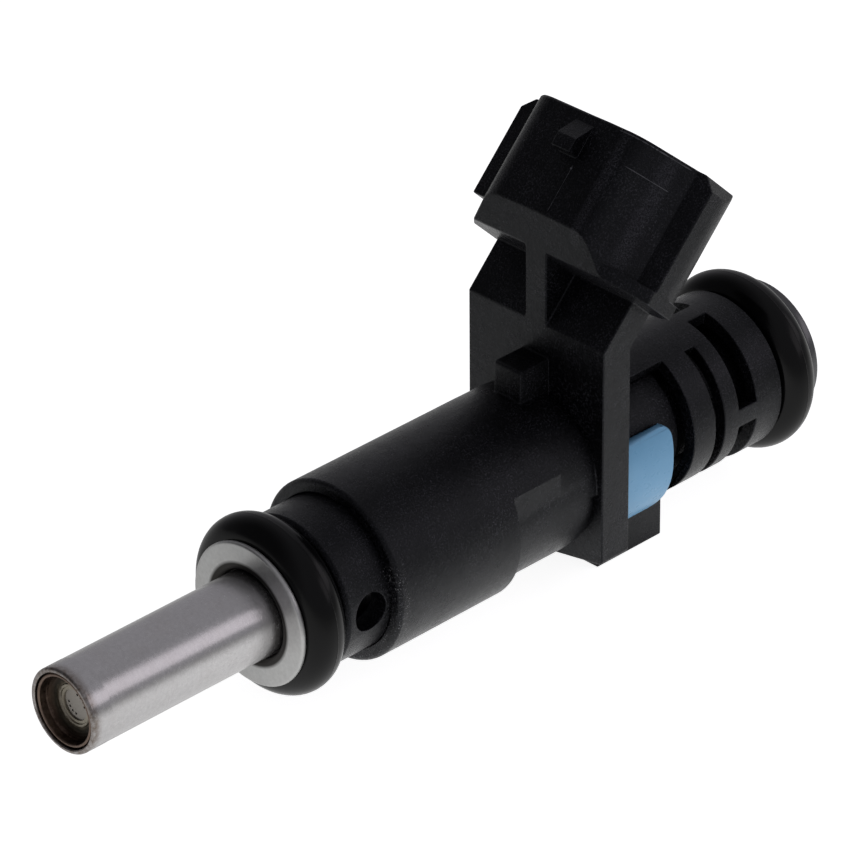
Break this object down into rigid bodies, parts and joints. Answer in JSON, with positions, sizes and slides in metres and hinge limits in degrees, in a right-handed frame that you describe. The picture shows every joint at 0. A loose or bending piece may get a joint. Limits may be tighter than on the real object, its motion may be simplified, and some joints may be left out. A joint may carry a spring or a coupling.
{
  "type": "fuel injector",
  "caption": "Port fuel injector: a stainless nozzle, a black moulded body with a leaning plug socket, a slotted rear sleeve and a rubber seal ring at each end.",
  "frame": {"origin": "on the injector's axis, in the middle plane of the lower seal ring", "axes": "+X along the axis towards the fuel inlet, so the nozzle points to -X; +Z towards the side that carries the plug; +Y across, completing a right-handed frame"},
  "size_m": [0.0753, 0.02, 0.0373],
  "materials": {
    "stainless": "drawn and turned, bright",
    "tinted_steel": "brown heat tint from welding",
    "plate_steel": "rolled thin sheet",
    "hardened_steel": "ground and lapped",
    "magnetic_steel": "turned, grey",
    "spring_steel": "drawn wire",
    "filter_brass": "drawn",
    "terminal_tin": "tin plated",
    "copper_wire": "enamelled copper",
    "seal_rubber": "smooth moulded rubber with a light film of oil",
    "black_nylon": "glass filled, fine eroded texture",
    "blue_nylon": "moulded, satin",
    "bobbin_nylon": "moulded",
    "filter_nylon": "moulded, with a woven screen"
  },
  "bodies": {
    "housing": {"nozzle_tube": "stainless", "orifice_cup": "tinted_steel", "orifice_plate": "plate_steel", "valve_seat": "hardened_steel", "ball_guide": "plate_steel", "return_spring": "spring_steel", "adjusting_tube": "spring_steel", "nonmagnetic_shell": "stainless", "valve_body": "magnetic_steel", "seal_retainer": "stainless", "lower_o_ring": "seal_rubber", "front_housing": "black_nylon", "coil_bobbin": "bobbin_nylon", "coil_winding": "copper_wire", "coil_housing": "magnetic_steel", "flux_washer": "magnetic_steel", "terminal_left": "terminal_tin", "terminal_right": "terminal_tin", "connector_housing": "black_nylon", "rear_cage": "black_nylon", "code_insert": "blue_nylon", "inlet_tube": "stainless", "upper_o_ring": "seal_rubber", "backup_washer": "stainless", "filter_frame": "filter_nylon", "filter_mesh": "filter_nylon", "filter_collar": "filter_brass"},
    "valve": {"armature": "magnetic_steel", "needle_tube": "stainless", "valve_ball": "hardened_steel"}
  },
  "joints": [
    {"name": "valve_lift", "type": "slide", "parent": "housing", "child": "valve", "axis": [1, 0, 0], "range_m": [0, 0.0001], "stiffness_N_per_m": 4000, "springref_m": -0.0015, "deforming": ["return_spring"]}
  ]
}
